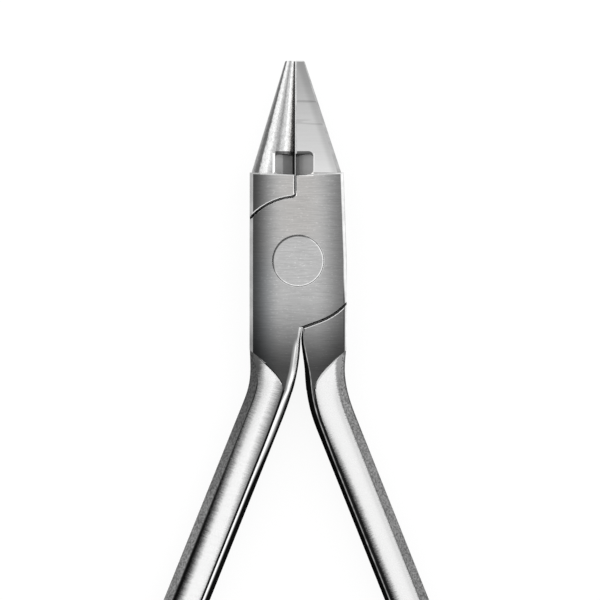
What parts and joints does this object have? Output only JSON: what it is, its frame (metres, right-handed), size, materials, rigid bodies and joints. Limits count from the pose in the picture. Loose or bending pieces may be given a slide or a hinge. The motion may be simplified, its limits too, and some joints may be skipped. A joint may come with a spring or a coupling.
{
  "type": "orthodontic pliers",
  "caption": "Wire-bending dental pliers with a cone beak that closes on a flat beak, a cutter window at their root, a riveted lap joint and long ridged handles.",
  "frame": {"origin": "on the surface that the closed pliers lie on, under the middle of their box", "axes": "+Y runs from the handles to the beak tips, +Z points out of the joint's front face, and +X is to the right seen from the front"},
  "size_m": [0.0554, 0.13, 0.0078],
  "materials": {
    "front_half_steel": "satin ground joint and flat beak, polished handle crown, matte handle flanks",
    "back_half_steel": "satin ground joint, polished cone beak and handle crown, matte handle flanks",
    "rivet_steel": "ground flush with the joint face"
  },
  "bodies": {
    "front_half": {"front_half": "front_half_steel", "pivot_rivet": "rivet_steel"},
    "back_half": {"back_half": "back_half_steel"}
  },
  "joints": [
    {"name": "jaw_pivot", "type": "hinge", "parent": "front_half", "child": "back_half", "pos_m": [0.00018, 0.03746, 0.0039], "axis": [0, 0, 1], "range_deg": [0, 75]}
  ]
}
